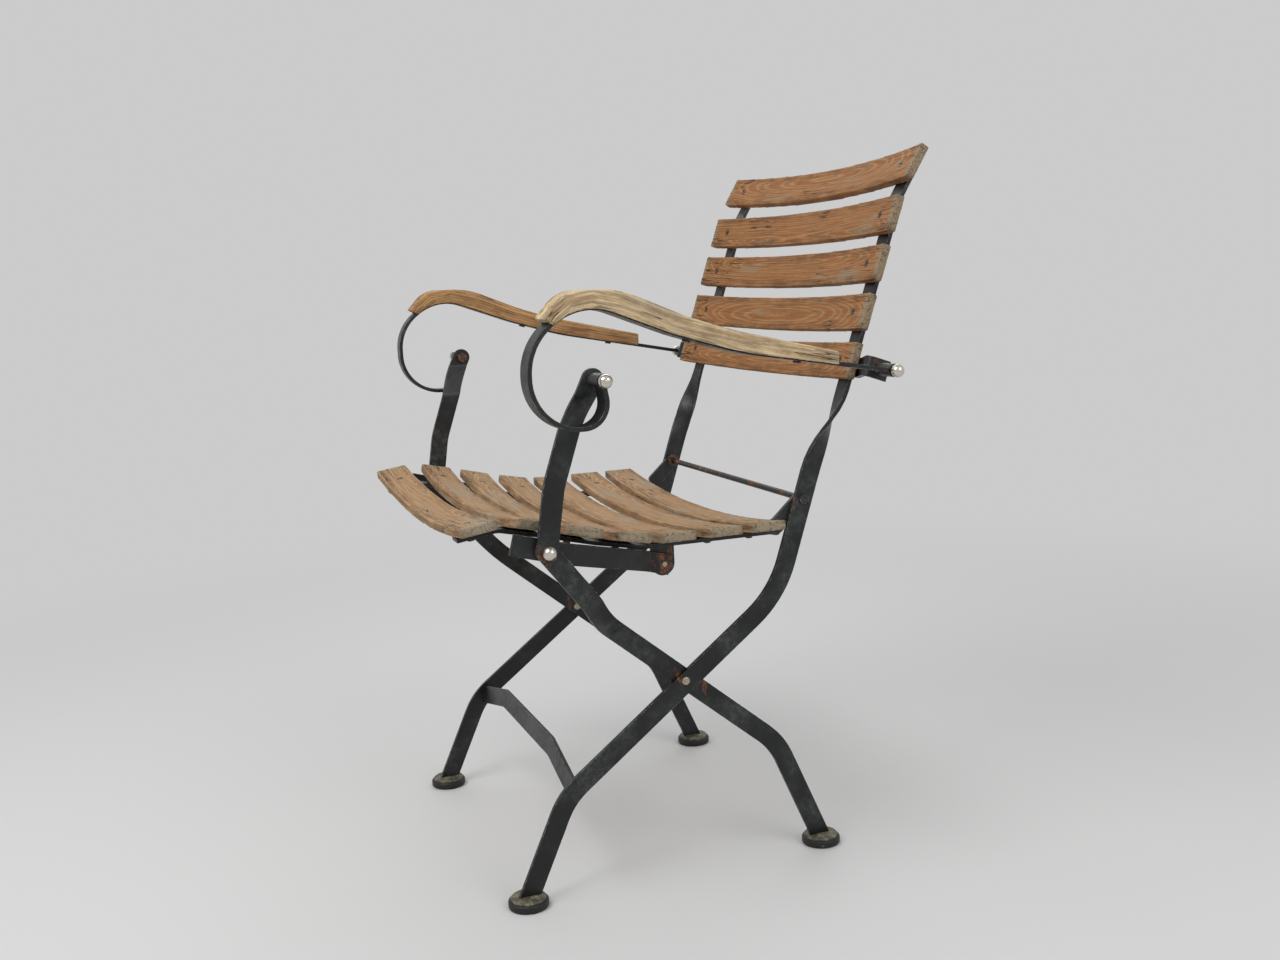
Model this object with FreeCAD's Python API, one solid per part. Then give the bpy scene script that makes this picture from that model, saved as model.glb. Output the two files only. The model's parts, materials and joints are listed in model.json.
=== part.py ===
import FreeCAD, Part
import math
import os

# Folding garden armchair: flat steel bars, wooden slats and wooden arm strips.
# X is side to side, the sitter faces -Y, Z is up and the feet rest on Z = 0.
# Side pieces are modelled on the +X side (the sitter's left) and mirrored.
V = FreeCAD.Vector
os.makedirs("parts", exist_ok=True)

# Stock
BAR_WIDTH = 25.0
BAR_THICK = 5.0

# Longer than any piece, for cutting shapes
BEYOND = 1000.0

# Clearances
FACE_GAP = 0.3
PIN_FIT = 0.05
SCREW_FIT = 0.2
SEAT_CLEARANCE = 0.05

# Pivots, each as (y, z)
LEG_PIVOT = (-34.0, 252.0)
SEAT_PIVOT = (137.5, 464.7)
POST_PIVOT = (-224.0, 451.3)
ARM_FRONT_PIVOT = (-166.4, 643.0)
ARM_REAR_PIVOT = (204.7, 628.1)
LINK_PIVOT = (-56.8, 404.5)

# Pins and balls
MAIN_PIN_R = 4.0
RIVET_R = 3.0
RIVET_HEAD_R = 5.5
RIVET_HEAD_T = 2.5
BALL_R = 8.0
BALL_FLAT = 7.2
BALL_SOCKET_R = 2.2
BALL_SOCKET_DEPTH = 5.0
NUT_FLATS = 13.0
NUT_THICK = 6.0
PIVOT_HEAD_R = 6.0
PIVOT_HEAD_T = 3.2
SLOT_WIDTH = 1.4
SLOT_DEPTH = 1.2

# Slat ends, as half of each slat's length
SEAT_SLAT_HALF = 274.0
BACK_SLAT_HALF = 270.0

# Planes across the chair, as the x of a bar's middle
FRONT_LEG_X = 222.0
BACK_STRAP_X = 231.6
RAIL_X = 212.0
RAIL_EDGE_GAP = 0.5
POST_STANDOFF = 23.5
BRACKET_STANDOFF = 32.0
ARM_STANDOFF = 23.0
LAYER = BAR_THICK + FACE_GAP
POST_FOOT_X = SEAT_SLAT_HALF + POST_STANDOFF
REAR_LEG_X = FRONT_LEG_X - LAYER
REAR_LEG_TOP_X = POST_FOOT_X - LAYER
LINK_FRONT_X = REAR_LEG_TOP_X - LAYER
LINK_REAR_X = RAIL_X + BAR_WIDTH / 2 + RAIL_EDGE_GAP + BAR_THICK / 2
LUG_X = LINK_REAR_X - LAYER
BRACKET_END_X = BACK_SLAT_HALF + BRACKET_STANDOFF

# Arm: its plane passes through the rear eye and turns outward to the front
ARM_SPLAY = math.radians(2.5)
ARM_EYE_R = 8.0
ARM_REAR_X = BRACKET_END_X + ARM_STANDOFF
ARM_FRONT_X = ARM_REAR_X + (ARM_REAR_PIVOT[0] - ARM_FRONT_PIVOT[0]) * math.tan(ARM_SPLAY)
ARM_EYE_HALF = BAR_WIDTH / 2 * math.cos(ARM_SPLAY) + ARM_EYE_R * math.sin(ARM_SPLAY)
ARM_SPACER_LENGTH = 9.0
ARM_SPACER_R = 6.5
ARM_SPACER_X = ARM_FRONT_X - ARM_EYE_HALF - SEAT_CLEARANCE - ARM_SPACER_LENGTH
POST_TOP_X = ARM_SPACER_X - FACE_GAP - BAR_THICK / 2

# Front leg and back upright, one bar each side, as (y, z)
FRONT_FOOT = (-252.0, 8.0)
FRONT_KNEE = (-196.0, 128.0)
BACK_BEND = (97.4, 346.0)
FRONT_KNEE_R = 90.0
BACK_BEND_R = 140.0
TWIST_START_Z = 498.0
STRAP_START = (193.6, 600.0)
STRAP_TOP = (304.5, 880.2)
STRAP_TOP_RUN = (28.5, 45.9)
STRAP_BEND = (STRAP_TOP[0] - STRAP_TOP_RUN[0], STRAP_TOP[1] - STRAP_TOP_RUN[1])
STRAP_BEND_R = 60.0

# Rear leg, as (y, z)
REAR_FOOT = (152.5, 8.0)
REAR_KNEE = (92.5, 148.0)
REAR_BEND = (-146.0, 348.0)
REAR_KNEE_R = 100.0
REAR_BEND_R = 200.0
REAR_TOP_FLAT = 85.0
REAR_SPLAY_RUN = 80.0
REAR_SPLAY_R = 30.0
JOGGLE_R = 12.0

# Feet
FOOT_DISC_R = 22.0
FOOT_DISC_T = 5.0
FOOT_CAP_R = 25.0
FOOT_CAP_T = 10.0
FOOT_SINK = 2.0
FOOT_ROUND = 3.0
FOOT_TOP = FOOT_CAP_T - FOOT_SINK + FOOT_DISC_T

# Stretcher between the front legs
STRETCHER_JOINT = (-186.0, 133.0)
STRETCHER_SLOPE = (0.2, 0.98)
STRETCHER_RISE = 24.0
STRETCHER_FLAT = 112.0
STRETCHER_R = 40.0

# Seat rail under the slats, as (y, z) of its middle plane
RAIL_CORNERS = [(-310.0, 461.0), (-262.0, 468.2), (-202.0, 454.6),
                (-143.0, 439.6), (-83.0, 427.8), (88.5, 426.6)]
RAIL_R = 30.0
RAIL_TWIST_END = (106.0, 436.4)
RAIL_EAR_WIDTH = 20.0
LUG_WIDTH = 30.0

# Seat slats
SEAT_SLAT_Y = [-291.5, -231.8, -173.6, -112.7, -53.5, 8.2, 65.3]
SEAT_SLAT_WIDTH = 44.0
SEAT_SLAT_THICK = 12.0
SEAT_DISH = 20.0

# Back slats, evenly spaced from the strap's top to the arm's rear pivot
BACK_SLAT_TOP_GAP = 11.7
BACK_SLAT_PITCH = 59.0
BACK_SLAT_LOW_RISE = 4.6
BACK_SLAT_WIDTH = 46.0
BACK_SLAT_THICK = 12.0
BACK_DISH = 19.0
HIGH_SLAT_Z = STRAP_TOP[1] - BACK_SLAT_TOP_GAP
LOW_SLAT_Z = ARM_REAR_PIVOT[1] + BACK_SLAT_LOW_RISE
BACK_SLAT_GAPS = max(1, round((HIGH_SLAT_Z - LOW_SLAT_Z) / BACK_SLAT_PITCH))
BACK_SLAT_Z = [HIGH_SLAT_Z + (LOW_SLAT_Z - HIGH_SLAT_Z) * k / BACK_SLAT_GAPS
               for k in range(BACK_SLAT_GAPS + 1)]

# Slat screws
SCREW_R = 2.25
SCREW_HEAD_R = 4.6
SCREW_HEAD_T = 2.4
SCREW_SINK = 0.6
SLAT_NUT_FLATS = 8.0
SLAT_NUT_T = 3.5

# Link under the seat
LINK_FRONT_TAIL = 40.0
LINK_FRONT_FLAT = 30.0
LINK_REAR_TAIL = 7.5
LINK_REAR_FLAT = 22.0

# Post that carries the arm's front
POST_BENDS = [(-212.5, 524.0), (-183.0, 609.0)]
POST_BEND_R = 120.0
POST_JOGGLE_RUN = 42.0
POST_JOGGLE_DROP = 13.0
POST_JOGGLE_HIGH = ARM_FRONT_PIVOT[1] - POST_JOGGLE_DROP
POST_JOGGLE_LOW = POST_JOGGLE_HIGH - POST_JOGGLE_RUN

# Corners of the arm's band between its eyes, and of the top of the wood on it
BAND_CORNERS = [(0.0, 664.0), (-80.0, 689.0), (-190.0, 732.3), (-250.0, 685.0), (-250.0, 592.6),
                (-158.5, 592.6)]
BAND_RADII = [400.0, 300.0, 72.0, 66.0, 57.0, 27.0]
WOOD_TOP = [(127.0, 656.4), (-10.0, 689.3), (-65.0, 707.0), (-146.0, 741.3), (-206.0, 742.0),
            (-233.0, 713.0)]
WOOD_TOP_RADII = [0, 500.0, 300.0, 110.0, 40.0, 0]
WOOD_WIDTH = 34.0
WOOD_SCREW_Y = [80.0, -60.0]
BAND_REVEAL = 1.0

# The right arm was bent a little higher and further forward than the left one
RIGHT_ARM_LIFT = 5.5
RIGHT_ARM_REACH = 5.0
SCROLL_FROM_Y = -170.0
SCROLL_MIDDLE_Z = 640.0

# Bracket from the back upright to the arm's rear pivot
BRACKET_FORWARD = 20.0
BRACKET_REAR = 12.5
BRACKET_LAP = 20.0
BRACKET_R = 7.0


def add(a, b):
    return (a[0] + b[0], a[1] + b[1])


def scale(a, k):
    return (a[0] * k, a[1] * k)


def unit(a, b):
    """Direction from a to b."""
    length = math.hypot(b[0] - a[0], b[1] - a[1])
    return ((b[0] - a[0]) / length, (b[1] - a[1]) / length)


def left_of(d):
    return (-d[1], d[0])


def side_edges(points, radii, offset, place):
    """Straight runs joined by tangent arcs, at a distance to the left of a path."""
    edges = []
    here = add(points[0], scale(left_of(unit(points[0], points[1])), offset))
    for i in range(1, len(points) - 1):
        p = points[i]
        a = unit(points[i - 1], p)
        b = unit(p, points[i + 1])
        turn = math.atan2(a[0] * b[1] - a[1] * b[0], a[0] * b[0] + a[1] * b[1])
        side = 1 if turn > 0 else -1
        reach = radii[i] * math.tan(abs(turn) / 2)
        centre = add(add(p, scale(a, -reach)), scale(left_of(a), side * radii[i]))
        radius = radii[i] - side * offset
        arc_start = add(centre, scale(left_of(a), -side * radius))
        arc_end = add(centre, scale(left_of(b), -side * radius))
        arc_mid = add(centre, scale(unit(centre, p), radius))
        edges.append(Part.makeLine(place(*here), place(*arc_start)))
        edges.append(Part.Arc(place(*arc_start), place(*arc_mid), place(*arc_end)).toShape())
        here = arc_end
    last = add(points[-1], scale(left_of(unit(points[-2], points[-1])), offset))
    edges.append(Part.makeLine(place(*here), place(*last)))
    return edges


def cap_edge(tip, direction, half, rounded, place):
    """End of a band: a straight cut, or a half circle round the tip."""
    left = add(tip, scale(left_of(direction), half))
    right = add(tip, scale(left_of(direction), -half))
    if rounded:
        far = add(tip, scale(direction, half))
        return Part.Arc(place(*left), place(*far), place(*right)).toShape()
    return Part.makeLine(place(*left), place(*right))


def band_face(points, radii, half, place, round_start=False, round_end=False):
    """Flat strip of constant width along a path with rounded corners."""
    if not isinstance(radii, list):
        radii = [radii] * len(points)
    left = side_edges(points, radii, half, place)
    right = side_edges(points, radii, -half, place)
    start = cap_edge(points[0], unit(points[1], points[0]), half, round_start, place)
    end = cap_edge(points[-1], unit(points[-2], points[-1]), half, round_end, place)
    wires = Part.__sortEdges__(left + [end] + right + [start])
    return Part.Face(Part.Wire(wires))


def side_band(points, radii, width, x_mid, x_size, **ends):
    """Strip whose outline lies in the side view, as thick as x_size about x_mid."""
    face = band_face(points, radii, width / 2, lambda y, z: V(x_mid - x_size / 2, y, z), **ends)
    return face.extrude(V(x_size, 0, 0))


def pin(x_from, x_to, radius, at):
    """Round bar along X."""
    return Part.makeCylinder(radius, x_to - x_from, V(x_from, at[0], at[1]), V(1, 0, 0))


def hex_prism(flats, height, base, axis, turn):
    """Six-sided nut blank with one corner towards turn."""
    radius = flats / math.sqrt(3)
    across = axis.cross(turn)
    corners = []
    for k in range(7):
        angle = math.radians(60 * k)
        corners.append(base + turn * (radius * math.cos(angle)) + across * (radius * math.sin(angle)))
    return Part.Face(Part.makePolygon(corners)).extrude(axis * height)


def mirrored(shape):
    return shape.mirror(V(0, 0, 0), V(1, 0, 0))


def export(name, *solids):
    shape = solids[0] if len(solids) == 1 else Part.makeCompound(list(solids))
    shape.exportStep("parts/" + name + ".step")


def export_pair(name, shape):
    export(name + "_left", shape)
    export(name + "_right", mirrored(shape))


def joined(first, *others):
    return first.fuse(list(others)).removeSplitter().Solids[0]


def twisted_bar(start, start_dir, end, end_dir, x_start, x_end, size_start, size_end, steps=8):
    """Short bar that turns a quarter about its own line between two places.

    A size is (width, thickness): the width starts in the side view and ends along X.
    """
    length = math.hypot(end[0] - start[0], end[1] - start[1])
    sections = []
    for k in range(steps + 1):
        t = k / steps
        h0, h1 = 2 * t**3 - 3 * t**2 + 1, t**3 - 2 * t**2 + t
        h2, h3 = -2 * t**3 + 3 * t**2, t**3 - t**2
        g0, g1, g2, g3 = 6 * t**2 - 6 * t, 3 * t**2 - 4 * t + 1, 6 * t - 6 * t**2, 3 * t**2 - 2 * t
        y, z = [h0 * start[i] + h1 * length * start_dir[i] + h2 * end[i] + h3 * length * end_dir[i]
                for i in (0, 1)]
        run = V(0, *[g0 * start[i] + g1 * length * start_dir[i] + g2 * end[i]
                     + g3 * length * end_dir[i] for i in (0, 1)]).normalize()
        x = x_start + (x_end - x_start) * h2
        normal = V(0, -run.z, run.y)
        angle = math.pi / 2 * h2
        wide = normal * math.cos(angle) + V(1, 0, 0) * math.sin(angle)
        thin = run.cross(wide)
        half_w = (size_start[0] + (size_end[0] - size_start[0]) * h2) / 2
        half_t = (size_start[1] + (size_end[1] - size_start[1]) * h2) / 2
        middle = V(x, y, z)
        corners = [middle + wide * half_w * a + thin * half_t * b
                   for a, b in ((1, 1), (-1, 1), (-1, -1), (1, -1), (1, 1))]
        sections.append(Part.makePolygon(corners))
    return Part.makeLoft(sections, True, True)


# Strap frame: s runs up the strap, m runs back from its rear face
STRAP_DIR = unit(STRAP_START, STRAP_BEND)
STRAP_TOP_DIR = unit(STRAP_BEND, STRAP_TOP)
UPRIGHT_DIR = unit(BACK_BEND, SEAT_PIVOT)


def strap_point(z):
    """Middle of the strap at a height, with the direction it runs there."""
    if z < STRAP_BEND[1]:
        base, run = STRAP_START, STRAP_DIR
    else:
        base, run = STRAP_BEND, STRAP_TOP_DIR
    return add(base, scale(run, (z - base[1]) / run[1])), run


def rearward(run):
    return (run[1], -run[0])


def back_bar():
    """Front leg, curve, quarter twist and back strap in one bar."""
    foot_dir = unit(FRONT_FOOT, FRONT_KNEE)
    below = add(FRONT_FOOT, scale(foot_dir, -2 * FRONT_FOOT[1]))
    twist_start = add(SEAT_PIVOT, scale(UPRIGHT_DIR, (TWIST_START_Z - SEAT_PIVOT[1]) / UPRIGHT_DIR[1]))
    lower = side_band([below, FRONT_KNEE, BACK_BEND, twist_start],
                      [0, FRONT_KNEE_R, BACK_BEND_R, 0], BAR_WIDTH, FRONT_LEG_X, BAR_THICK)
    lower = lower.cut(floor_block())
    twist = twisted_bar(twist_start, UPRIGHT_DIR, STRAP_START, STRAP_DIR, FRONT_LEG_X, BACK_STRAP_X,
                        (BAR_WIDTH, BAR_THICK), (BAR_WIDTH, BAR_THICK))
    strap = side_band([STRAP_START, STRAP_BEND, STRAP_TOP], STRAP_BEND_R, BAR_THICK,
                      BACK_STRAP_X, BAR_WIDTH)
    bar = joined(lower, twist, strap)
    for at in (LEG_PIVOT, SEAT_PIVOT):
        bar = bar.cut(pin(FRONT_LEG_X - BAR_WIDTH, FRONT_LEG_X + BAR_WIDTH, MAIN_PIN_R + PIN_FIT, at))
    for z in BACK_SLAT_Z:
        bar = bar.cut(back_screw_hole(z))
    return bar


def floor_block():
    """Everything below the top of the foot discs."""
    return Part.makeBox(2 * BEYOND, 2 * BEYOND, BEYOND, V(-BEYOND, -BEYOND, FOOT_TOP - BEYOND))


def back_axis(z):
    """Place and rearward direction of a slat screw on the strap."""
    at, run = strap_point(z)
    back = rearward(run)
    return V(BACK_STRAP_X, *at), V(0, *back)


def back_screw_hole(z):
    middle, back = back_axis(z)
    return Part.makeCylinder(SCREW_R + SCREW_FIT, 8 * BAR_THICK, middle - back * 4 * BAR_THICK, back)


def rear_leg():
    """Rear leg, which splays outward at its top to the post's pivot."""
    run = unit(POST_PIVOT, REAR_BEND)
    foot_dir = unit(REAR_FOOT, REAR_KNEE)
    below = add(REAR_FOOT, scale(foot_dir, -2 * REAR_FOOT[1]))
    outline = side_band([below, REAR_KNEE, REAR_BEND, POST_PIVOT], [0, REAR_KNEE_R, REAR_BEND_R, 0],
                        BAR_WIDTH, REAR_LEG_TOP_X, 8 * BAR_WIDTH, round_end=True)

    def place(s, x):
        at = add(POST_PIVOT, scale(run, s))
        return V(x, *add(at, scale(left_of(run), -BEYOND)))

    splay_end = REAR_TOP_FLAT + REAR_SPLAY_RUN
    path = [(-BEYOND, REAR_LEG_TOP_X), (REAR_TOP_FLAT, REAR_LEG_TOP_X),
            (splay_end, REAR_LEG_X), (BEYOND, REAR_LEG_X)]
    profile = band_face(path, REAR_SPLAY_R, BAR_THICK / 2, place)
    sheet = profile.extrude(V(0, *scale(left_of(run), 2 * BEYOND)))
    leg = outline.common(sheet).cut(floor_block()).Solids[0]
    for at in (POST_PIVOT, LEG_PIVOT):
        leg = leg.cut(pin(0, REAR_LEG_TOP_X + BAR_WIDTH, MAIN_PIN_R + PIN_FIT, at))
    return leg


def foot_disc(x, foot):
    disc = Part.makeCylinder(FOOT_DISC_R, FOOT_DISC_T, V(x, foot[0], FOOT_CAP_T - FOOT_SINK))
    rim = [e for e in disc.Edges if e.Length > FOOT_DISC_R and e.BoundBox.ZMin > FOOT_TOP - 0.1]
    return disc.makeChamfer(FOOT_DISC_T / 4, rim)


def foot_cap(x, foot):
    cap = Part.makeCylinder(FOOT_CAP_R, FOOT_CAP_T, V(x, foot[0], 0))
    rims = [e for e in cap.Edges if e.Length > 2 * FOOT_CAP_T and e.BoundBox.ZLength < 0.1]
    cap = cap.makeFillet(min(FOOT_ROUND, FOOT_CAP_T / 3, (FOOT_CAP_R - FOOT_DISC_R) * 0.9), rims)
    recess = Part.makeCylinder(FOOT_DISC_R + SEAT_CLEARANCE, FOOT_CAP_T,
                               V(x, foot[0], FOOT_CAP_T - FOOT_SINK))
    return cap.cut(recess)


def front_stretcher():
    """Flat arch welded between the inner faces of the front legs."""
    end = FRONT_LEG_X - BAR_THICK / 2

    def place(x, w):
        return V(x, STRETCHER_JOINT[0] + STRETCHER_SLOPE[0] * w, STRETCHER_JOINT[1] + STRETCHER_SLOPE[1] * w)

    outer = unit((STRETCHER_FLAT, STRETCHER_RISE), (end, 0))
    tip = add((end, 0), scale(outer, BAR_WIDTH))
    points = [(-tip[0], tip[1]), (-STRETCHER_FLAT, STRETCHER_RISE), (STRETCHER_FLAT, STRETCHER_RISE), tip]
    normal = V(0, -STRETCHER_SLOPE[1], STRETCHER_SLOPE[0])
    face = band_face(points, STRETCHER_R, BAR_WIDTH / 2, place)
    arch = face.extrude(normal * BAR_THICK)
    arch.translate(normal * (-BAR_THICK / 2))
    return arch.common(Part.makeBox(2 * end, 2 * BEYOND, 2 * BEYOND, V(-end, -BEYOND, -BEYOND)))


def rail_place(y):
    """Middle of the rail's straight run at y, with its direction."""
    for a, b in zip(RAIL_CORNERS, RAIL_CORNERS[1:]):
        if y < b[0]:
            run = unit(a, b)
            return add(a, scale(run, (y - a[0]) / run[0])), run
    return RAIL_CORNERS[-1], (1.0, 0.0)


# Height of a seat slat's end line over the rail's middle plane
RAIL_INNER_DROP = SEAT_DISH * (1 - ((RAIL_X - BAR_WIDTH / 2) / SEAT_SLAT_HALF) ** 2)
SEAT_LIFT = RAIL_INNER_DROP + SEAT_SLAT_THICK + BAR_THICK / 2 + SEAT_CLEARANCE
SEAT_SCREW_DROP = SEAT_DISH * (1 - (RAIL_X / SEAT_SLAT_HALF) ** 2)

# Distance of a back slat's end line in front of the strap's middle plane
STRAP_INNER_DROP = BACK_DISH * (1 - ((BACK_STRAP_X - BAR_WIDTH / 2) / BACK_SLAT_HALF) ** 2)
BACK_LIFT = STRAP_INNER_DROP + BACK_SLAT_THICK + BAR_THICK / 2 + SEAT_CLEARANCE
BACK_SCREW_DROP = BACK_DISH * (1 - (BACK_STRAP_X / BACK_SLAT_HALF) ** 2)


def seat_rail():
    """Bar that lies flat under the slats, then turns on edge up to the seat pivot."""
    flat = side_band(RAIL_CORNERS, RAIL_R, BAR_THICK, RAIL_X, BAR_WIDTH)
    run = unit(RAIL_CORNERS[-2], RAIL_CORNERS[-1])
    rise = unit(RAIL_TWIST_END, SEAT_PIVOT)
    twist = twisted_bar(RAIL_TWIST_END, scale(rise, -1), RAIL_CORNERS[-1], scale(run, -1),
                        REAR_LEG_X, RAIL_X, (RAIL_EAR_WIDTH, BAR_THICK), (BAR_WIDTH, BAR_THICK))
    plate = side_band([RAIL_TWIST_END, SEAT_PIVOT], 0, RAIL_EAR_WIDTH, REAR_LEG_X, BAR_THICK,
                      round_end=True)
    at, _ = rail_place(LINK_PIVOT[0])
    lug = side_band([(LINK_PIVOT[0], at[1]), LINK_PIVOT], 0, LUG_WIDTH, LUG_X, BAR_THICK, round_end=True)
    rail = joined(flat, twist, plate, lug)
    rail = rail.cut(pin(0, FRONT_LEG_X, MAIN_PIN_R + PIN_FIT, SEAT_PIVOT))
    rail = rail.cut(pin(0, FRONT_LEG_X + BAR_WIDTH, RIVET_R + PIN_FIT, LINK_PIVOT))
    for y in SEAT_SLAT_Y:
        middle, up = seat_axis(y)
        base = middle - up * 2 * BAR_THICK
        rail = rail.cut(Part.makeCylinder(SCREW_R + SCREW_FIT, 4 * BAR_THICK, base, up))
    return rail


def seat_axis(y):
    """Middle of the rail under a slat, with the direction square to the rail."""
    at, run = rail_place(y)
    return V(RAIL_X, *at), V(0, *left_of(run))


def slat(half, dish, thick, width, middle, along, up, screw_x, screw_drop):
    """Dished slat with two countersunk screw holes; middle is on the line of its end corners."""
    def place(x, h):
        return middle - along * (width / 2) + V(x, 0, 0) + up * h

    face = Part.Face(Part.Wire([
        Part.Arc(place(-half, 0), place(0, -dish), place(half, 0)).toShape(),
        Part.makeLine(place(half, 0), place(half, -thick)),
        Part.Arc(place(half, -thick), place(0, -dish - thick), place(-half, -thick)).toShape(),
        Part.makeLine(place(-half, -thick), place(-half, 0))]))
    body = face.extrude(along * width)
    head_r, hole_r = SCREW_HEAD_R + SCREW_FIT, SCREW_R + SCREW_FIT
    for x in (-screw_x, screw_x):
        top = middle + V(x, 0, 0) - up * (screw_drop + SCREW_SINK)
        body = body.cut(Part.makeCylinder(head_r, thick, top, up))
        body = body.cut(Part.makeCone(head_r, hole_r, SCREW_HEAD_T, top, up * -1))
        body = body.cut(Part.makeCylinder(hole_r, 3 * thick, top, up * -1))
    return body


def seat_slat(y):
    at, run = rail_place(y)
    up = V(0, *left_of(run))
    return slat(SEAT_SLAT_HALF, SEAT_DISH, SEAT_SLAT_THICK, SEAT_SLAT_WIDTH,
                V(0, *at) + up * SEAT_LIFT, V(0, *run), up, RAIL_X, SEAT_SCREW_DROP)


def back_slat(z):
    at, run = strap_point(z)
    front = V(0, *scale(rearward(run), -1))
    return slat(BACK_SLAT_HALF, BACK_DISH, BACK_SLAT_THICK, BACK_SLAT_WIDTH,
                V(0, *at) + front * BACK_LIFT, V(0, *run), front, BACK_STRAP_X, BACK_SCREW_DROP)


def slotted_screw(top, up, length):
    """Countersunk screw with a slot, whose head's top lies at top."""
    head = Part.makeCone(SCREW_HEAD_R, SCREW_R, SCREW_HEAD_T, top, up * -1)
    shank = Part.makeCylinder(SCREW_R, length, top, up * -1)
    turn = V(1, 0, 0)
    across = up.cross(turn)
    corner = top - turn * SCREW_HEAD_R - across * (SLOT_WIDTH / 2) - up * SLOT_DEPTH
    corners = [corner, corner + turn * 2 * SCREW_HEAD_R,
               corner + turn * 2 * SCREW_HEAD_R + across * SLOT_WIDTH, corner + across * SLOT_WIDTH, corner]
    slot = Part.Face(Part.makePolygon(corners)).extrude(up * 2 * SLOT_DEPTH)
    return joined(head, shank).cut(slot).Solids[0]


def slat_nut(base, down):
    """Nut on a slat screw, seated at base."""
    blank = hex_prism(SLAT_NUT_FLATS, SLAT_NUT_T, base, down, V(1, 0, 0))
    return blank.cut(Part.makeCylinder(SCREW_R + PIN_FIT, 3 * SLAT_NUT_T, base - down * SLAT_NUT_T, down))


def slat_fasteners(axes, lift, drop, extra):
    """Screws and nuts for slats; extra is what a nut has to clear beyond the bar."""
    screws, nuts = [], []
    for (middle, up), more in zip(axes, extra):
        top = middle + up * (lift - drop - SCREW_SINK)
        base = middle - up * (BAR_THICK / 2 + more + SEAT_CLEARANCE)
        length = (top - base).Length + SLAT_NUT_T + SCREW_SINK
        screw, nut = slotted_screw(top, up, length), slat_nut(base, up * -1)
        screws += [screw, mirrored(screw)]
        nuts += [nut, mirrored(nut)]
    return screws, nuts


def joggled(outline, place, shift, path, radius):
    """Part of a side outline that follows a bend across the chair."""
    sheet = band_face(path, radius, BAR_THICK / 2, place).extrude(shift)
    return outline.common(sheet).Solids[0]


def seat_link():
    """Bar from the rear leg's top back to the lug under the seat."""
    run = unit(POST_PIVOT, LINK_PIVOT)
    length = math.hypot(LINK_PIVOT[0] - POST_PIVOT[0], LINK_PIVOT[1] - POST_PIVOT[1])
    front = add(POST_PIVOT, scale(run, -LINK_FRONT_TAIL))
    rear = add(LINK_PIVOT, scale(run, LINK_REAR_TAIL))
    outline = side_band([front, rear], 0, BAR_WIDTH, LINK_FRONT_X, 8 * BAR_WIDTH)

    def place(s, x):
        return V(x, *add(add(POST_PIVOT, scale(run, s)), scale(left_of(run), -2 * BAR_WIDTH)))

    path = [(-2 * LINK_FRONT_TAIL, LINK_FRONT_X), (LINK_FRONT_FLAT, LINK_FRONT_X),
            (length - LINK_REAR_FLAT, LINK_REAR_X), (length + BAR_WIDTH, LINK_REAR_X)]
    link = joggled(outline, place, V(0, *scale(left_of(run), 4 * BAR_WIDTH)), path, JOGGLE_R)
    link = link.cut(pin(0, LINK_FRONT_X + BAR_WIDTH, MAIN_PIN_R + PIN_FIT, POST_PIVOT))
    return link.cut(pin(0, LINK_FRONT_X + BAR_WIDTH, RIVET_R + PIN_FIT, LINK_PIVOT))


def arm_post():
    """Bent bar from the rear leg's top up to the arm's front eye."""
    outline = side_band([POST_PIVOT] + POST_BENDS + [ARM_FRONT_PIVOT], POST_BEND_R, BAR_WIDTH,
                        POST_TOP_X, 8 * BAR_WIDTH, round_start=True, round_end=True)

    def place(z, x):
        return V(x, POST_PIVOT[0] - 4 * BAR_WIDTH, z)

    path = [(POST_PIVOT[1] - BAR_WIDTH, POST_FOOT_X), (POST_JOGGLE_LOW, POST_FOOT_X),
            (POST_JOGGLE_HIGH, POST_TOP_X), (ARM_FRONT_PIVOT[1] + BAR_WIDTH, POST_TOP_X)]
    post = joggled(outline, place, V(0, 12 * BAR_WIDTH, 0), path, JOGGLE_R)
    post = post.cut(pin(0, POST_TOP_X + BAR_WIDTH, MAIN_PIN_R + PIN_FIT, POST_PIVOT))
    return post.cut(pin(0, POST_TOP_X + BAR_WIDTH, MAIN_PIN_R + PIN_FIT, ARM_FRONT_PIVOT))


def bent_by_hand(points, lift, reach):
    """Corners of one arm, with its top raised and its scroll moved forward."""
    return [(y - (reach if y < SCROLL_FROM_Y else 0), z + (lift if z > SCROLL_MIDDLE_Z else 0))
            for y, z in points]


def band_line(lift, reach):
    """Corners of the band's middle line from its rear eye to its front eye, in the arm's plane."""
    away = (ARM_FRONT_PIVOT[0] - ARM_REAR_PIVOT[0]) / math.cos(ARM_SPLAY)
    front_eye = (ARM_REAR_PIVOT[0] + away, ARM_FRONT_PIVOT[1])
    return [ARM_REAR_PIVOT] + bent_by_hand(BAND_CORNERS, lift, reach) + [front_eye]


def splayed(shape):
    """The shape turned outward about the upright line through the arm's rear eye."""
    turned = shape.copy()
    turned.rotate(V(ARM_REAR_X, ARM_REAR_PIVOT[0], 0), V(0, 0, 1), math.degrees(ARM_SPLAY))
    return turned


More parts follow.
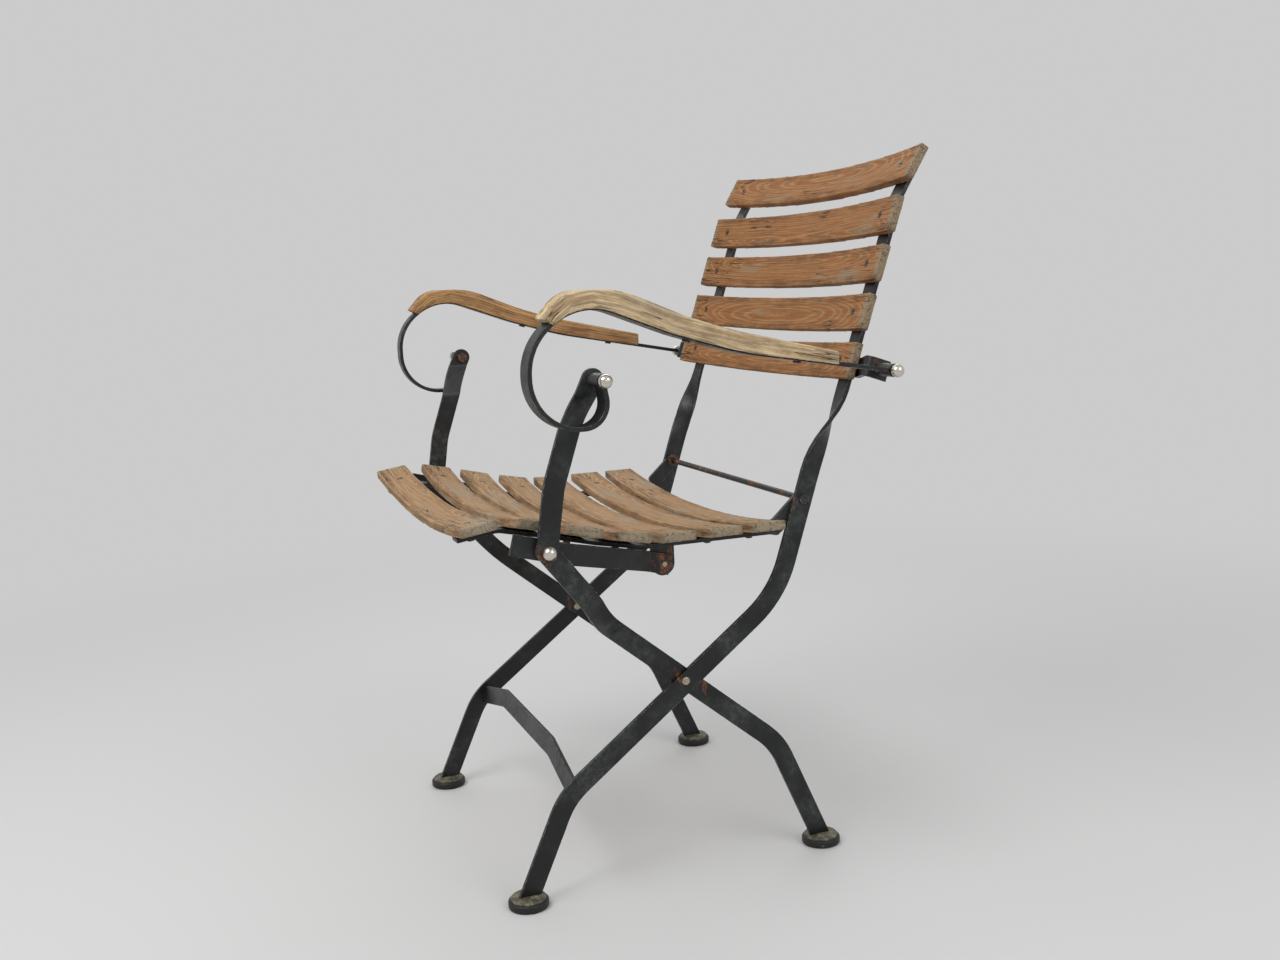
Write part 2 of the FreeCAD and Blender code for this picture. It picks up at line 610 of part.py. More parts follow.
def arm_band(lift, reach):
    """Band under the wood with its front scroll and a rolled eye at each end."""
    line = band_line(lift, reach)
    band = side_band(line, [0] + BAND_RADII + [0], BAR_THICK, ARM_REAR_X, BAR_WIDTH)
    eyes = [pin(ARM_REAR_X - BAR_WIDTH / 2, ARM_REAR_X + BAR_WIDTH / 2, ARM_EYE_R, at)
            for at in (line[0], line[-1])]
    band = joined(band, *eyes)
    for y in WOOD_SCREW_Y:
        middle, up = arm_screw_axis(line, y)
        band = band.cut(Part.makeCylinder(SCREW_R + SCREW_FIT, 2 * BAR_THICK, middle - up * BAR_THICK, up))
    band = splayed(band)
    for at in (ARM_REAR_PIVOT, ARM_FRONT_PIVOT):
        band = band.cut(pin(0, ARM_FRONT_X + BAR_WIDTH, MAIN_PIN_R + PIN_FIT, at))
    return band


def arm_screw_axis(line, y):
    """Middle of the band at y on its rear half, with the direction square to it."""
    for a, b in zip(line, line[1:]):
        if y > b[0]:
            run = unit(a, b)
            at = add(a, scale(run, (y - a[0]) / run[0]))
            return V(ARM_REAR_X, *at), V(0, *scale(left_of(run), -1))
    return V(ARM_REAR_X, *line[0]), V(0, 0, 1)


def arm_wood(lift, reach):
    """Wooden strip bent along the band, which lies in a groove in its underside."""
    def place(y, z):
        return V(ARM_REAR_X - WOOD_WIDTH / 2, y, z)

    line = band_line(lift, reach)
    top_line = bent_by_hand(WOOD_TOP, lift, reach)
    rear, _ = arm_screw_axis(line, top_line[0][0])
    under_line = [(rear.y, rear.z)] + line[1:5]
    under = side_edges(under_line, [0] + BAND_RADII[:4], BAR_THICK / 2 - BAND_REVEAL, place)
    top = side_edges(top_line, WOOD_TOP_RADII, 0, place)
    # The underside follows the band as far as the end of its first large bend
    edges = under[:-1] + top
    edges.append(Part.makeLine(place(*top_line[0]), under[0].Vertexes[0].Point))
    edges.append(Part.makeLine(place(*top_line[-1]), under[-2].Vertexes[-1].Point))
    body = Part.Face(Part.Wire(Part.__sortEdges__(edges))).extrude(V(WOOD_WIDTH, 0, 0))
    groove = side_band(line[:6], [0] + BAND_RADII[:4] + [0], BAR_THICK + 2 * SEAT_CLEARANCE, ARM_REAR_X,
                       BAR_WIDTH + 2 * FACE_GAP)
    body = body.cut(groove)
    for y in WOOD_SCREW_Y:
        middle, up = arm_screw_axis(line, y)
        body = body.cut(Part.makeCylinder(SCREW_R + PIN_FIT, 3 * BAR_THICK, middle, up))
    return splayed(body)


def arm_wood_screws(lift, reach):
    """Round-headed screws up through the band into the wood."""
    screws = []
    for y in WOOD_SCREW_Y:
        middle, up = arm_screw_axis(band_line(lift, reach), y)
        base = middle - up * (BAR_THICK / 2 + SEAT_CLEARANCE)
        head = Part.makeCylinder(SCREW_HEAD_R, SCREW_HEAD_T, base, up * -1)
        screws.append(splayed(joined(head, Part.makeCylinder(SCREW_R, 3 * BAR_THICK, base, up))))
    return screws


def ball_bolt(face_x, shank_end_x, at):
    """Ball head whose flat lies at face_x, with a shank inward to shank_end_x."""
    centre = V(face_x + BALL_FLAT, *at)
    ball = Part.makeSphere(BALL_R, centre)
    ball = ball.cut(Part.makeBox(BALL_R, 4 * BALL_R, 4 * BALL_R,
                                 V(face_x - BALL_R, at[0] - 2 * BALL_R, at[1] - 2 * BALL_R)))
    socket = pin(face_x + BALL_FLAT + BALL_R - BALL_SOCKET_DEPTH, face_x + 3 * BALL_R, BALL_SOCKET_R, at)
    return joined(ball, pin(shank_end_x, face_x + BALL_R / 2, MAIN_PIN_R, at)).cut(socket).Solids[0]


def pivot_nut(face_x, at, bore_r, thick):
    """Hexagonal nut seated inward of face_x."""
    blank = hex_prism(NUT_FLATS, thick, V(face_x, *at), V(-1, 0, 0), V(0, 0, 1))
    return blank.cut(pin(face_x - 2 * thick, face_x + thick, bore_r, at))


def arm_bracket():
    """Bar on the rear face of the strap, out and round to the arm's rear pivot."""
    at, run = strap_point(BACK_SLAT_Z[-1])
    back = rearward(run)
    rear_face = add(at, scale(back, BAR_THICK / 2))
    pivot_m = (ARM_REAR_PIVOT[0] - rear_face[0]) * back[0] + (ARM_REAR_PIVOT[1] - rear_face[1]) * back[1]
    pivot_s = (ARM_REAR_PIVOT[0] - rear_face[0]) * run[0] + (ARM_REAR_PIVOT[1] - rear_face[1]) * run[1]
    fold_m = pivot_m - BRACKET_FORWARD + BAR_THICK / 2

    def place(x, m):
        low = add(rear_face, add(scale(back, m), scale(run, pivot_s - BAR_WIDTH / 2)))
        return V(x, *low)

    lap_m = BAR_THICK / 2 + SEAT_CLEARANCE
    path = [(BACK_STRAP_X - BAR_WIDTH / 2, lap_m), (BACK_STRAP_X + BRACKET_LAP, lap_m),
            (BRACKET_END_X, fold_m), (BRACKET_END_X, pivot_m + BRACKET_REAR)]
    face = band_face(path, [0, 2 * BRACKET_R, BRACKET_R, 0], BAR_THICK / 2, place)
    bracket = face.extrude(V(0, *scale(run, BAR_WIDTH)))
    bracket = bracket.cut(pin(0, BRACKET_END_X + BAR_WIDTH, MAIN_PIN_R + PIN_FIT, ARM_REAR_PIVOT))
    return bracket.cut(back_screw_hole(BACK_SLAT_Z[-1]))


def seat_pivot_rod():
    """Round bar across the chair with a slotted head outside each upright."""
    end = FRONT_LEG_X + BAR_THICK / 2
    rod = pin(-end, end, MAIN_PIN_R, SEAT_PIVOT)
    head = pin(end + SEAT_CLEARANCE, end + SEAT_CLEARANCE + PIVOT_HEAD_T, PIVOT_HEAD_R, SEAT_PIVOT)
    neck = pin(end - 1, end + PIVOT_HEAD_T / 2, MAIN_PIN_R, SEAT_PIVOT)
    slot = Part.makeBox(SLOT_DEPTH, 4 * PIVOT_HEAD_R, SLOT_WIDTH,
                        V(end + SEAT_CLEARANCE + PIVOT_HEAD_T - SLOT_DEPTH,
                          SEAT_PIVOT[0] - 2 * PIVOT_HEAD_R, SEAT_PIVOT[1] - SLOT_WIDTH / 2))
    head = joined(head, neck).cut(slot)
    return joined(rod, head, mirrored(head))


def seat_pivot_washer():
    """Washer between the seat plate and a collar on the rod."""
    outer = REAR_LEG_X - BAR_THICK / 2 - FACE_GAP
    ring = pin(outer - PIVOT_HEAD_T / 2, outer, PIVOT_HEAD_R + PIVOT_HEAD_T, SEAT_PIVOT)
    return ring.cut(pin(outer - PIVOT_HEAD_T, outer + 1, MAIN_PIN_R + PIN_FIT, SEAT_PIVOT))


def domed(x_face, at, radius, height, outward):
    """Low round head on a face, swelling along +X or -X."""
    head = Part.makeCylinder(radius, height, V(x_face, *at), V(outward, 0, 0))
    rim = [e for e in head.Edges if abs(e.CenterOfMass.x - x_face - outward * height) < 0.01
           and e.Length > radius]
    return head.makeFillet(height * 0.8, rim)


def leg_rivet():
    """Rivet through the crossing legs, with a head outside and inside."""
    outer = FRONT_LEG_X + BAR_THICK / 2 + SEAT_CLEARANCE
    inner = REAR_LEG_X - BAR_THICK / 2 - FACE_GAP
    return joined(pin(inner - 1, outer + 1, MAIN_PIN_R, LEG_PIVOT),
                  domed(outer, LEG_PIVOT, RIVET_HEAD_R, RIVET_HEAD_T, 1),
                  domed(inner, LEG_PIVOT, RIVET_HEAD_R, RIVET_HEAD_T, -1))


def link_rivet():
    """Rivet through the seat's lug and the link, flush with the link outside."""
    outer = LINK_REAR_X + BAR_THICK / 2
    inner = LUG_X - BAR_THICK / 2 - SEAT_CLEARANCE
    return joined(pin(inner - 1, outer, RIVET_R, LINK_PIVOT),
                  domed(inner, LINK_PIVOT, RIVET_HEAD_R, RIVET_HEAD_T, -1))


def stub_nut(middle_x, at):
    """Nut inboard of a bar with its stub filling the bar's eye."""
    inner = middle_x - BAR_THICK / 2
    nut = hex_prism(NUT_FLATS, NUT_THICK, V(inner - SEAT_CLEARANCE, *at), V(-1, 0, 0), V(0, 0, 1))
    return joined(nut, pin(inner - NUT_THICK, middle_x + BAR_THICK / 2, MAIN_PIN_R, at))


def build_frame():
    export_pair("back_bar", back_bar())
    export("front_stretcher", front_stretcher())
    export("seat_pivot_rod", seat_pivot_rod())
    washer = seat_pivot_washer()
    export("seat_pivot_washers", washer, mirrored(washer))
    rivet = leg_rivet()
    export("leg_pivot_rivets", rivet, mirrored(rivet))
    export_pair("front_foot_disc", foot_disc(FRONT_LEG_X, FRONT_FOOT))
    export_pair("front_foot_cap", foot_cap(FRONT_LEG_X, FRONT_FOOT))


def build_back():
    for number, z in enumerate(BACK_SLAT_Z, 1):
        export("back_slat_%d" % number, back_slat(z))
    axes = [(middle, back * -1) for middle, back in (back_axis(z) for z in BACK_SLAT_Z)]
    extra = [0.0] * (len(BACK_SLAT_Z) - 1) + [BAR_THICK + SEAT_CLEARANCE]
    screws, nuts = slat_fasteners(axes, BACK_LIFT, BACK_SCREW_DROP, extra)
    export("back_slat_screws", *screws)
    export("back_slat_nuts", *nuts)
    export_pair("arm_bracket", arm_bracket())
    plate_out = BRACKET_END_X + BAR_THICK / 2
    plate_in = BRACKET_END_X - BAR_THICK / 2 - SEAT_CLEARANCE
    eye_out = ARM_REAR_X + ARM_EYE_HALF + FACE_GAP
    export_pair("arm_pivot_bolt", ball_bolt(eye_out, plate_in - 1.3 * NUT_THICK, ARM_REAR_PIVOT))
    spacer_out = ARM_REAR_X - ARM_EYE_HALF - FACE_GAP
    spacer_length = spacer_out - plate_out - SEAT_CLEARANCE
    spacer = pivot_nut(spacer_out, ARM_REAR_PIVOT, MAIN_PIN_R + PIN_FIT, spacer_length)
    export("arm_pivot_spacers", spacer, mirrored(spacer))
    nut = pivot_nut(plate_in, ARM_REAR_PIVOT, MAIN_PIN_R + PIN_FIT, NUT_THICK)
    export("arm_pivot_nuts", nut, mirrored(nut))


def build_rear_legs():
    export_pair("rear_leg", rear_leg())
    export_pair("rear_foot_disc", foot_disc(REAR_LEG_X, REAR_FOOT))
    export_pair("rear_foot_cap", foot_cap(REAR_LEG_X, REAR_FOOT))
    export_pair("lower_ball_bolt", ball_bolt(POST_FOOT_X + BAR_THICK / 2 + FACE_GAP,
                                             REAR_LEG_TOP_X - BAR_THICK / 2, POST_PIVOT))


def build_seat():
    export_pair("seat_rail", seat_rail())
    for number, y in enumerate(SEAT_SLAT_Y, 1):
        export("seat_slat_%d" % number, seat_slat(y))
    axes = [seat_axis(y) for y in SEAT_SLAT_Y]
    screws, nuts = slat_fasteners(axes, SEAT_LIFT, SEAT_SCREW_DROP, [0.0] * len(SEAT_SLAT_Y))
    export("seat_slat_screws", *screws)
    export("seat_slat_nuts", *nuts)
    rivet = link_rivet()
    export("seat_link_rivets", rivet, mirrored(rivet))
    export_pair("seat_link", seat_link())
    export_pair("seat_link_nut", stub_nut(LINK_FRONT_X, POST_PIVOT))


def build_arms():
    export_pair("arm_post", arm_post())
    export_pair("arm_post_nut", stub_nut(POST_TOP_X, ARM_FRONT_PIVOT))
    left = (0.0, 0.0)
    right = (RIGHT_ARM_LIFT, RIGHT_ARM_REACH)
    export("arm_band_left", arm_band(*left))
    export("arm_band_right", mirrored(arm_band(*right)))
    export("arm_wood_left", arm_wood(*left))
    export("arm_wood_right", mirrored(arm_wood(*right)))
    export("arm_wood_screws_left", *arm_wood_screws(*left))
    export("arm_wood_screws_right", *[mirrored(screw) for screw in arm_wood_screws(*right)])
    bolt = ball_bolt(ARM_FRONT_X + ARM_EYE_HALF + SEAT_CLEARANCE, ARM_SPACER_X, ARM_FRONT_PIVOT)
    spacer = pin(ARM_SPACER_X, ARM_SPACER_X + ARM_SPACER_LENGTH, ARM_SPACER_R, ARM_FRONT_PIVOT)
    spacer = spacer.cut(pin(0, ARM_FRONT_X, MAIN_PIN_R + PIN_FIT, ARM_FRONT_PIVOT))
    export("upper_ball_bolt_left", bolt, spacer)
    export("upper_ball_bolt_right", mirrored(bolt), mirrored(spacer))


build_frame()
build_back()
build_rear_legs()
build_seat()
build_arms()
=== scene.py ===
import json
import math

import bpy
from mathutils import Matrix, Vector
from mathutils import noise as texture


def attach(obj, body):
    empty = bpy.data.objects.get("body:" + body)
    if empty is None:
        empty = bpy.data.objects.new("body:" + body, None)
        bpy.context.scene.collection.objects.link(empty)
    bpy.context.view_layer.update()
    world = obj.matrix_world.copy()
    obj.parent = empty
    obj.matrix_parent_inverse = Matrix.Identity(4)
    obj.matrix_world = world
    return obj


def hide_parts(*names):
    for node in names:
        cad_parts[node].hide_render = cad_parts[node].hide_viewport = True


# Folding garden armchair: weathered slats and arm strips on a worn black steel frame.
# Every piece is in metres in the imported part's own frame, where the sitter faces -Y.
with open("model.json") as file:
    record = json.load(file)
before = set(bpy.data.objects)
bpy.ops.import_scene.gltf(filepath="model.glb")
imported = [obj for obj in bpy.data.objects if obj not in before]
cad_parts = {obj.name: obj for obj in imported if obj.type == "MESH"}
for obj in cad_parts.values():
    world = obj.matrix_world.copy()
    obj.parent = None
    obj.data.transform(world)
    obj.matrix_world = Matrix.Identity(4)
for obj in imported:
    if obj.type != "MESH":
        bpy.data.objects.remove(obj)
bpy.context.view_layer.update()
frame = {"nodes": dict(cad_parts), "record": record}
NODES = frame["nodes"]
BODY_OF = {node: body for body, nodes in frame["record"]["behaviour"]["bodies"].items()
           for node in nodes}

# Camera, solved from the photo's symmetric pairs of points
CAMERA_PLACE = (1.71534, -0.63293, 0.75179)
CAMERA_YAW = math.radians(69.711)
CAMERA_PITCH = math.radians(8.637)
CAMERA_ROLL = math.radians(-2.768)
CAMERA_LENS = 37.49
CAMERA_SENSOR = 36

# Pivots, as (y, z)
LEG_PIVOT = (-0.034, 0.252)
POST_PIVOT = (-0.224, 0.4513)
LINK_PIVOT = (-0.0568, 0.4045)
ARM_FRONT_PIVOT = (-0.1664, 0.643)
ARM_REAR_PIVOT = (0.2047, 0.6281)
SEAT_PIVOT = (0.1375, 0.4647)

# Left arm's wood: middle line from its rear end to its nose as (y, z), place of that line
# across the chair at the rear pivot, outward splay and half sizes. The right arm's wood lies
# a few millimetres higher and further forward, which its grain leaves out.
ARM_LINE = [(0.1275, 0.648), (0.0, 0.676), (-0.08, 0.701), (-0.14, 0.727), (-0.175, 0.7355),
            (-0.203, 0.732), (-0.222, 0.7185), (-0.236, 0.700)]
ARM_REAR_X = 0.325
ARM_SPLAY = math.tan(math.radians(2.5))
ARM_HALF_WIDTH = 0.017
ARM_HALF_THICKNESS = 0.008

# Worn wood: size of the mesh's cells, passes that round its edges, depth of the wear on a slat
# and on an arm, and the part of that depth that is the same all over
WOOD_CELL = 0.0015
WOOD_SMOOTHING = 5
SLAT_RELIEF = 0.0003
ARM_RELIEF = 0.0008
EVEN_WEAR = 0.25
GROOVE_WEAR = 2.2

# Grooves between the fibres: scale per metre along, across and through a piece, with the share
# of each kind and how far the pattern moves from piece to piece
COARSE_GROOVES, COARSE_SHARE, COARSE_SHIFT = (7, 130, 130), 0.6, 50
FINE_GROOVES, FINE_SHARE, FINE_SHIFT = (16, 420, 420), 0.4, 90
PIECE_SHIFT = (0.37, 0.19, 0.11)

# Place of the tree's heart in a slat: its swing to the sides, its depth and the swing of that
# depth, how both swings turn from slat to slat, and how far along the tree each slat starts
SLAT_HEART_SIDE = 0.014
SLAT_HEART_DEPTH = 0.016
SLAT_HEART_SWING = 0.012
SLAT_SIDE_TURN = 2.4
SLAT_DEPTH_TURN = 1.7
SLAT_TREE_STEP = 0.9

# Place of the heart across and over an arm, and the rise of the grain along it
ARM_HEART = (0.01, 0.022)
ARM_GRAIN_RISE = 0.03

# Points of the mesh nearer than this are the same corner
SAME_POINT = 1e-4

# Distances from an end or from a long edge of the wood over which its wear and its darkening come
# and go
END_BLEACH = (0.013, 0.002)
END_BLEACH_RAGGED = 0.03
END_SPLITS = 0.06
EDGE_DARKENING = (0.013, 0.004)
EDGE_RUB = (0.0042, 0.0004)
SLAT_RINGS = 60.0
ARM_RINGS = 40.0

# Radii of the rounded edges that the steel and rubber show
BEVEL_SAMPLES = 6
BAR_EDGE_R = 0.0011
FITTING_EDGE_R = 0.0006
FOOT_EDGE_R = 0.0012
FOOT_SCUFF_R = 0.0014

# Sockets of a Mix node that mixes colours
MIX_FACTOR, MIX_A, MIX_B, MIX_RESULT = 0, 6, 7, 2


def srgb(red, green, blue):
    """Colour from the 0 to 255 values of a screen."""
    parts = [c / 255 for c in (red, green, blue)]
    return [c / 12.92 if c < 0.04045 else ((c + 0.055) / 1.055) ** 2.4 for c in parts] + [1]


# Black paint on the steel, with its rubbed places, a painted highlight along its edges, chips and
# rust
PAINT_DARK = srgb(11, 12, 13)
PAINT_LIGHT = srgb(30, 32, 33)
PAINT_RUBBED = srgb(82, 86, 82)
# Grey of the painted highlight along the edges
PAINT_EDGE_HIGHLIGHT = srgb(88, 94, 92)
PAINT_CHIP = srgb(172, 172, 160)
PAINT_RUST = srgb(74, 42, 26), srgb(150, 88, 46)
STEEL_RUST = srgb(82, 47, 28), srgb(158, 96, 52)


class Nodes:
    """A node tree, with short calls for its nodes."""

    def __init__(self, tree):
        self.tree = tree

    def put(self, socket, value):
        if isinstance(value, bpy.types.NodeSocket):
            self.tree.links.new(value, socket)
        else:
            socket.default_value = value

    def node(self, kind, inputs=(), **settings):
        made = self.tree.nodes.new("ShaderNode" + kind)
        for key, value in settings.items():
            setattr(made, key, value)
        for key, value in dict(inputs).items():
            self.put(made.inputs[key], value)
        return made

    def calc(self, operation, a, b=0.0):
        return self.node("Math", {0: a, 1: b}, operation=operation).outputs[0]

    def plus(self, a, b):
        return self.calc("ADD", a, b)

    def minus(self, a, b):
        return self.calc("SUBTRACT", a, b)

    def times(self, *values):
        result = values[0]
        for value in values[1:]:
            result = self.calc("MULTIPLY", result, value)
        return result

    def most(self, *values):
        result = values[0]
        for value in values[1:]:
            result = self.calc("MAXIMUM", result, value)
        return result


class Look(Nodes):
    """One material."""

    def __init__(self, name):
        self.material = bpy.data.materials.new(name)
        self.material.use_nodes = True
        super().__init__(self.material.node_tree)
        self.shader = self.tree.nodes["Principled BSDF"]

    def shade(self, **inputs):
        """Sets the shader's sockets, whose names are written with underscores."""
        for key, value in inputs.items():
            self.put(self.shader.inputs[key.replace("_", " ")], value)

    def attribute(self, name):
        return self.node("Attribute", attribute_name=name).outputs["Vector"]

    def place(self):
        return self.node("TexCoord").outputs["Object"]

    def part(self, vector, axis):
        return self.node("SeparateXYZ", {0: vector}).outputs[axis]

    def stretched(self, vector, scale, shift=(0, 0, 0)):
        return self.node("Mapping", {"Vector": vector, "Scale": scale, "Location": shift}).outputs[0]

    def noise(self, vector, scale=1.0, detail=4.0, roughness=0.6):
        return self.node("TexNoise", {"Vector": vector, "Scale": scale, "Detail": detail,
                                      "Roughness": roughness}).outputs[0]

    def ramp(self, value, low, high, start=0.0, end=1.0):
        """Value carried smoothly from start to end between low and high."""
        return self.node("MapRange", {"Value": value, "From Min": low, "From Max": high,
                                      "To Min": start, "To Max": end},
                         interpolation_type="SMOOTHSTEP").outputs[0]

    def mix(self, factor, a, b):
        return self.node("Mix", {MIX_FACTOR: factor, MIX_A: a, MIX_B: b},
                         data_type="RGBA").outputs[MIX_RESULT]

    def near(self, vector, at, reach):
        """One at a pivot's line along X, down to nothing at reach."""
        flat = self.node("VectorMath", {0: vector, 1: (0, 1, 1)}, operation="MULTIPLY").outputs[0]
        away = self.node("VectorMath", {0: flat, 1: (0, *at)}, operation="DISTANCE")
        return self.ramp(away.outputs["Value"], 0.2 * reach, reach, 1.0, 0.0)

    def rounded(self, radius):
        """Normal of the surface as if its edges had this radius."""
        return self.node("Bevel", {"Radius": radius}, samples=BEVEL_SAMPLES).outputs[0]

    def edges(self, radius):
        """One along the edges, from how far the rounded normal turns from the flat one."""
        flat = self.node("NewGeometry").outputs["Normal"]
        same = self.node("VectorMath", {0: self.rounded(radius), 1: flat}, operation="DOT_PRODUCT")
        return self.ramp(same.outputs["Value"], 0.99, 0.86)

    def bump(self, height, distance, radius=0.0):
        made = self.node("Bump", {"Height": height, "Distance": distance})
        if radius:
            self.put(made.inputs["Normal"], self.rounded(radius))
        self.shade(Normal=made.outputs[0])


def wood(name, dark, middle, light, grey, grey_share, split_share, ring_scale):
    """Weathered wood that follows the fibres of its piece."""
    look = Look(name)
    fibre = look.attribute("fibre")
    grain = look.attribute("grain")
    margin = look.attribute("margin")
    from_end = look.part(margin, 0)
    from_edge = look.part(margin, 1)

    rings = look.node("TexWave", {"Vector": look.stretched(grain, (0.10, 1, 1)), "Scale": ring_scale,
                                  "Distortion": 5.0, "Detail": 3.0, "Detail Scale": 0.35,
                                  "Detail Roughness": 0.6}, wave_type="RINGS",
                      rings_direction="X").outputs["Fac"]
    strands = look.noise(look.stretched(fibre, (14, 620, 620)), detail=7, roughness=0.7)
    pores = look.noise(look.stretched(fibre, (45, 1500, 1500)), detail=2)
    patches = look.noise(look.stretched(fibre, (7, 28, 28), (3, 1, 2)), detail=4, roughness=0.55)
    stains = look.noise(look.stretched(fibre, (22, 60, 60), (7, 5, 1)), detail=6, roughness=0.7)

    # Year rings, fibres, pores and stains
    color = look.mix(look.ramp(rings, 0.15, 0.85), middle, light)
    color = look.mix(look.ramp(rings, 0.62, 0.95, 0.0, 0.5), color, dark)
    color = look.mix(look.ramp(strands, 0.44, 0.74, 0.0, 0.6), color, dark)
    color = look.mix(look.ramp(strands, 0.50, 0.30, 0.0, 0.4), color, light)
    color = look.mix(look.times(look.ramp(pores, 0.60, 0.68), 0.55), color, dark)
    color = look.mix(look.ramp(stains, 0.55, 0.75, 0.0, 0.5), color, dark)

    # Grey in patches and at the ends, and darker in patches beside the long edges
    grey_from = 0.66 - 0.3 * grey_share
    greyed = look.times(look.ramp(patches, grey_from, grey_from + 0.14),
                        look.ramp(strands, 0.32, 0.62, 0.95, 0.45))
    ragged = look.times(look.minus(strands, 0.5), END_BLEACH_RAGGED)
    ends = look.ramp(look.plus(from_end, ragged), *END_BLEACH)
    color = look.mix(look.times(greyed, 0.85), color, grey)
    color = look.mix(look.times(ends, 0.75), color, grey)
    # Darker in patches beside the long edges
    edge_darkening = look.times(look.ramp(from_edge, *EDGE_DARKENING), look.ramp(stains, 0.38, 0.60))
    color = look.mix(look.times(edge_darkening, 0.55), color, dark)

    # Splits along the fibres, more of them near the ends
    lines = look.noise(look.stretched(fibre, (5, 150, 150), (2, 4, 6)), detail=3, roughness=0.5)
    where = look.noise(look.stretched(fibre, (9, 14, 14), (5, 2, 8)), detail=2)
    near_end = look.ramp(from_end, END_SPLITS, 0.0, 0.0, 0.35)
    split_from = 0.66 - 0.25 * split_share
    line = look.ramp(look.calc("ABSOLUTE", look.minus(lines, 0.5)), 0.012, 0.003)
    split = look.times(line, look.ramp(look.plus(where, near_end), split_from, split_from + 0.06))
    color = look.mix(look.times(split, 0.9), color, [c * 0.25 for c in dark[:3]] + [1])

    # Long edges rubbed pale
    rubbed = look.times(look.ramp(from_edge, *EDGE_RUB), look.ramp(strands, 0.60, 0.40, 0.0, 0.55))
    color = look.mix(rubbed, color, light)

    height = look.minus(look.minus(look.times(strands, 0.5), look.times(pores, 0.15)),
                        look.times(split, 1.2))
    look.bump(height, 0.0012)
    look.shade(Base_Color=color, Roughness=look.ramp(strands, 0.3, 0.7, 0.62, 0.86),
               Specular_IOR_Level=0.3)
    return look.material


def paint(name, rust_spots, wear, rust):
    """Old black paint on steel, chipped on its edges, with rust near the given pivots."""
    look = Look(name)
    place = look.place()
    cloud = look.noise(place, 17, 5, 0.6)
    rubs = look.noise(look.stretched(place, (160, 110, 110), (1, 2, 3)), detail=8, roughness=0.75)
    specks = look.noise(place, 520, 3, 0.6)
    drips = look.noise(look.stretched(place, (70, 70, 24), (4, 4, 4)), detail=6, roughness=0.72)
    flakes = look.noise(place, 130, 6, 0.75)

    # Paint, thin and rubbed in places
    color = look.mix(look.ramp(cloud, 0.35, 0.7), PAINT_DARK, PAINT_LIGHT)
    worn = look.times(look.ramp(cloud, 0.58 - 0.16 * wear, 0.80 - 0.16 * wear),
                      look.ramp(rubs, 0.40, 0.66))
    color = look.mix(look.times(worn, 0.55), color, PAINT_RUBBED)

    # Rust, most of it round the pivots
    near = look.most(*[look.near(place, at, reach) for at, reach in rust_spots])
    spread = look.plus(drips, look.times(near, 0.22))
    rusty = look.ramp(spread, 0.76 - 0.12 * rust, 0.88 - 0.12 * rust, 0.0, 0.85)
    color = look.mix(rusty, color, look.mix(look.ramp(specks, 0.4, 0.6), *PAINT_RUST))

    # Painted highlight along every edge, and chips
    edge = look.edges(BAR_EDGE_R)
    chips = look.times(edge, look.ramp(flakes, 0.54 - 0.05 * wear, 0.59 - 0.05 * wear))
    color = look.mix(look.times(edge, 0.28), color, PAINT_EDGE_HIGHLIGHT)
    color = look.mix(look.times(chips, 0.85), color, PAINT_CHIP)

    rough = look.plus(look.ramp(rubs, 0.3, 0.7, 0.30, 0.50),
                      look.times(look.most(rusty, chips), 0.3))
    height = look.plus(look.times(rubs, 0.35), look.times(look.plus(rusty, chips), -0.4))
    look.bump(height, 0.0004, BAR_EDGE_R)
    look.shade(Base_Color=color, Roughness=rough, Specular_IOR_Level=0.42)
    return look.material


def worn_steel(name, base, tarnish, rust_share, roughness):
    """Bare or plated steel with tarnish and rust in blotches."""
    look = Look(name)
    place = look.place()
    blotch = look.noise(place, 260, 6, 0.7)
    fine = look.noise(place, 1300, 4, 0.6)
    color = look.mix(look.ramp(fine, 0.35, 0.65), base, tarnish)
    rusty = look.ramp(blotch, 0.66 - 0.28 * rust_share, 0.76 - 0.28 * rust_share)
    color = look.mix(rusty, color, look.mix(look.ramp(fine, 0.4, 0.6), *STEEL_RUST))
    rough = look.plus(look.times(rusty, 0.35),
                      look.ramp(fine, 0.3, 0.7, roughness - 0.08, roughness + 0.1))
    look.bump(look.plus(look.times(fine, 0.3), look.times(rusty, 0.5)), 0.0003, FITTING_EDGE_R)
    look.shade(Base_Color=color, Metallic=look.ramp(rusty, 0.0, 0.7, 0.9, 0.1), Roughness=rough)
    return look.material


def dusty(name, base, dust, share, roughness):
    """Rubber or painted steel under a film of dust."""
    look = Look(name)
    place = look.place()
    film = look.noise(place, 110, 6, 0.68)
    grit = look.noise(place, 1500, 3, 0.6)
    cover = look.times(look.ramp(film, 0.72 - 0.4 * share, 0.85 - 0.3 * share),
                       look.ramp(grit, 0.38, 0.56, 0.35, 1.0))
    scuffs = look.times(look.edges(FOOT_SCUFF_R), look.ramp(film, 0.4, 0.6))
    color = look.mix(cover, base, dust)
    color = look.mix(look.times(scuffs, 0.5), color, dust)
    look.bump(look.plus(look.times(grit, 0.3), look.times(cover, 0.4)), 0.0003, FOOT_EDGE_R)
    look.shade(Base_Color=color, Roughness=look.ramp(cover, 0.0, 1.0, roughness, 0.9),
               Specular_IOR_Level=0.4)
    return look.material


